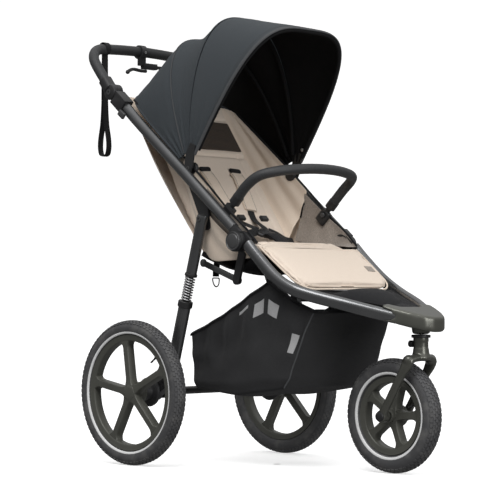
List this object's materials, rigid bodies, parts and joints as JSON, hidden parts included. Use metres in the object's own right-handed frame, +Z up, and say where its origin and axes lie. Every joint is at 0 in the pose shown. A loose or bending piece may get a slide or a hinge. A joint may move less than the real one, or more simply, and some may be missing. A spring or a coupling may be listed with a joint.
{
  "type": "jogging stroller",
  "caption": "Three-wheeled jogging stroller with a folding tube frame, sprung rear axle, swivelling front fork, tilting handle, fabric seat, canopy and basket.",
  "frame": {"origin": "on the ground under the middle of the stroller's bounding box", "axes": "+Z up, -Y forwards to the front wheel, +X to the child's left"},
  "size_m": [0.674, 1.148, 1.255],
  "materials": {
    "frame_metal": "satin anthracite paint on aluminium tube",
    "black_plastic": "fine textured black moulding",
    "hub_plastic": "satin dark olive grey moulding",
    "rim_plastic": "satin olive grey moulding",
    "tyre_rubber": "dark grey air tyre with a reflective side stripe",
    "leather": "stitched charcoal synthetic leather",
    "canopy_fabric": "woven slate grey canopy fabric",
    "black_fabric": "plain black woven fabric",
    "beige_fabric": "sand coloured padded melange fabric",
    "mesh_fabric": "grey brown knitted air mesh",
    "spring_steel": "bright steel wire"
  },
  "bodies": {
    "lower_frame": {"lower_tube_right": "frame_metal", "lower_tube_left": "frame_metal", "front_hub": "hub_plastic", "fold_knuckle_lower_right": "black_plastic", "fold_knuckle_lower_left": "black_plastic", "footrest_bar": "frame_metal", "calf_pad": "beige_fabric", "footrest_panel": "black_fabric", "basket": "black_fabric"},
    "upper_frame": {"upper_tube_right": "frame_metal", "upper_tube_left": "frame_metal", "fold_knuckle_upper_right": "black_plastic", "fold_knuckle_upper_left": "black_plastic", "handle_joint_right": "black_plastic", "handle_joint_left": "black_plastic", "bumper_mount_right": "black_plastic", "bumper_mount_left": "black_plastic", "canopy_hinge_right": "black_plastic", "canopy_hinge_left": "black_plastic", "seat_cushion": "beige_fabric", "seat_sling": "black_fabric", "side_panel_right": "mesh_fabric", "side_panel_left": "mesh_fabric", "harness_buckle": "black_plastic", "recline_strap": "black_fabric", "strap_ring": "spring_steel"},
    "seat_back": {"backrest": "beige_fabric"},
    "fold_release": {"fold_slider": "black_plastic"},
    "rear_legs": {"rear_leg_right": "frame_metal", "rear_leg_left": "frame_metal", "suspension_spring_right": "spring_steel", "suspension_spring_left": "spring_steel"},
    "fold_links": {"fold_link_right": "frame_metal", "fold_link_left": "frame_metal"},
    "axle": {"rear_axle": "black_plastic"},
    "brake_pedal": {"parking_brake_pedal": "black_plastic"},
    "rear_wheel_right": {"rear_wheel_right_tyre": "tyre_rubber", "rear_wheel_right_rim": "rim_plastic"},
    "rear_wheel_left": {"rear_wheel_left_tyre": "tyre_rubber", "rear_wheel_left_rim": "rim_plastic"},
    "fork": {"fork": "hub_plastic"},
    "swivel_lock": {"swivel_lock_knob": "black_plastic"},
    "front_wheel": {"front_wheel_tyre": "tyre_rubber", "front_wheel_rim": "rim_plastic"},
    "handle": {"handle": "leather", "brake_lever_clamp": "black_plastic", "wrist_strap": "black_fabric"},
    "handle_button_right": {"handle_button_right": "black_plastic"},
    "handle_button_left": {"handle_button_left": "black_plastic"},
    "brake_lever": {"brake_lever": "black_plastic"},
    "bumper": {"bumper_bar": "leather"},
    "bumper_button_right": {"bumper_button_right": "black_plastic"},
    "bumper_button_left": {"bumper_button_left": "black_plastic"},
    "canopy_rear": {"canopy_rear_bow": "black_plastic", "canopy_rear_panel": "canopy_fabric"},
    "canopy_middle": {"canopy_middle_bow": "black_plastic", "canopy_middle_panel": "canopy_fabric"},
    "canopy_front": {"canopy_front_bow": "black_plastic", "canopy_front_panel": "canopy_fabric"}
  },
  "joints": [
    {"name": "fold_hinge", "type": "hinge", "parent": "lower_frame", "child": "upper_frame", "pos_m": [0, -0.06103, 0.613], "axis": [-1, 0, 0], "range_deg": [0, 100], "deforming": ["calf_pad", "footrest_panel", "basket", "seat_cushion", "seat_sling", "side_panel_right", "side_panel_left", "backrest", "recline_strap", "strap_ring", "harness_buckle"]},
    {"name": "rear_leg_hinge", "type": "hinge", "parent": "upper_frame", "child": "rear_legs", "pos_m": [0, 0.07397, 0.662], "axis": [-1, 0, 0], "range_deg": [-100, 0]},
    {"name": "fold_link_hinge", "type": "hinge", "parent": "lower_frame", "child": "fold_links", "pos_m": [0, -0.03403, 0.508], "axis": [-1, 0, 0], "range_deg": [0, 100]},
    {"name": "suspension_slide", "type": "slide", "parent": "rear_legs", "child": "axle", "axis": [0, -0.2733, 0.9619], "range_m": [0, 0.02], "stiffness_N_per_m": 20000, "springref_m": -0.008, "deforming": ["suspension_spring_right", "suspension_spring_left"]},
    {"name": "parking_brake_hinge", "type": "hinge", "parent": "axle", "child": "brake_pedal", "pos_m": [0, 0.25897, 0.2], "axis": [-1, 0, 0], "range_deg": [0, 28]},
    {"name": "rear_wheel_right_spin", "type": "hinge", "parent": "axle", "child": "rear_wheel_right", "pos_m": [-0.306, 0.25897, 0.2], "axis": [1, 0, 0], "continuous": true},
    {"name": "rear_wheel_left_spin", "type": "hinge", "parent": "axle", "child": "rear_wheel_left", "pos_m": [0.306, 0.25897, 0.2], "axis": [1, 0, 0], "continuous": true},
    {"name": "fork_swivel", "type": "hinge", "parent": "lower_frame", "child": "fork", "pos_m": [0, -0.51403, 0.335], "axis": [0, 0, 1], "continuous": true},
    {"name": "swivel_lock_slide", "type": "slide", "parent": "fork", "child": "swivel_lock", "axis": [0, 1, 0], "range_m": [0, 0.006]},
    {"name": "front_wheel_spin", "type": "hinge", "parent": "fork", "child": "front_wheel", "pos_m": [0, -0.42203, 0.1515], "axis": [1, 0, 0], "continuous": true},
    {"name": "handle_tilt", "type": "hinge", "parent": "upper_frame", "child": "handle", "pos_m": [0, 0.43597, 1.05], "axis": [-1, 0, 0], "range_deg": [0, 75], "deforming": ["wrist_strap"]},
    {"name": "handle_button_right_press", "type": "slide", "parent": "upper_frame", "child": "handle_button_right", "axis": [-1, 0, 0], "range_m": [0, 0.003], "stiffness_N_per_m": 800},
    {"name": "handle_button_left_press", "type": "slide", "parent": "upper_frame", "child": "handle_button_left", "axis": [1, 0, 0], "range_m": [0, 0.003], "stiffness_N_per_m": 800},
    {"name": "brake_lever_pull", "type": "hinge", "parent": "handle", "child": "brake_lever", "pos_m": [0.007, 0.54697, 1.138], "axis": [0, 1, 0], "range_deg": [0, 12], "stiffness_Nm_per_rad": 2, "springref_deg": -11.46},
    {"name": "fold_release_slide", "type": "slide", "parent": "upper_frame", "child": "fold_release", "axis": [0, -0.761, -0.6488], "range_m": [0, 0.012], "stiffness_N_per_m": 400, "springref_m": -0.004},
    {"name": "seat_recline", "type": "hinge", "parent": "upper_frame", "child": "seat_back", "pos_m": [0, 0.10197, 0.59], "axis": [-1, 0, 0], "range_deg": [0, 20]},
    {"name": "bumper_lift", "type": "slide", "parent": "upper_frame", "child": "bumper", "axis": [0, -0.7071, 0.7071], "range_m": [0, 0.03]},
    {"name": "bumper_button_right_press", "type": "slide", "parent": "upper_frame", "child": "bumper_button_right", "axis": [-1, 0, 0], "range_m": [0, 0.003], "stiffness_N_per_m": 800},
    {"name": "bumper_button_left_press", "type": "slide", "parent": "upper_frame", "child": "bumper_button_left", "axis": [1, 0, 0], "range_m": [0, 0.003], "stiffness_N_per_m": 800},
    {"name": "canopy_rear_tilt", "type": "hinge", "parent": "upper_frame", "child": "canopy_rear", "pos_m": [0, 0.13097, 0.818], "axis": [-1, 0, 0], "range_deg": [0, 18], "deforming": ["canopy_rear_panel"]},
    {"name": "canopy_middle_tilt", "type": "hinge", "parent": "canopy_rear", "child": "canopy_middle", "pos_m": [0, 0.13097, 0.818], "axis": [-1, 0, 0], "range_deg": [0, 15], "deforming": ["canopy_middle_panel"]},
    {"name": "canopy_front_tilt", "type": "hinge", "parent": "canopy_middle", "child": "canopy_front", "pos_m": [0, 0.13097, 0.818], "axis": [-1, 0, 0], "range_deg": [0, 29], "deforming": ["canopy_front_panel"]}
  ],
  "couplings": [
    {"joint": "rear_leg_hinge", "follows": "fold_hinge", "ratio": -1},
    {"joint": "fold_link_hinge", "follows": "fold_hinge", "ratio": 1},
    {"joint": "canopy_rear_tilt", "follows": "canopy_front_tilt", "ratio": 0.62},
    {"joint": "canopy_middle_tilt", "follows": "canopy_front_tilt", "ratio": 0.517}
  ]
}
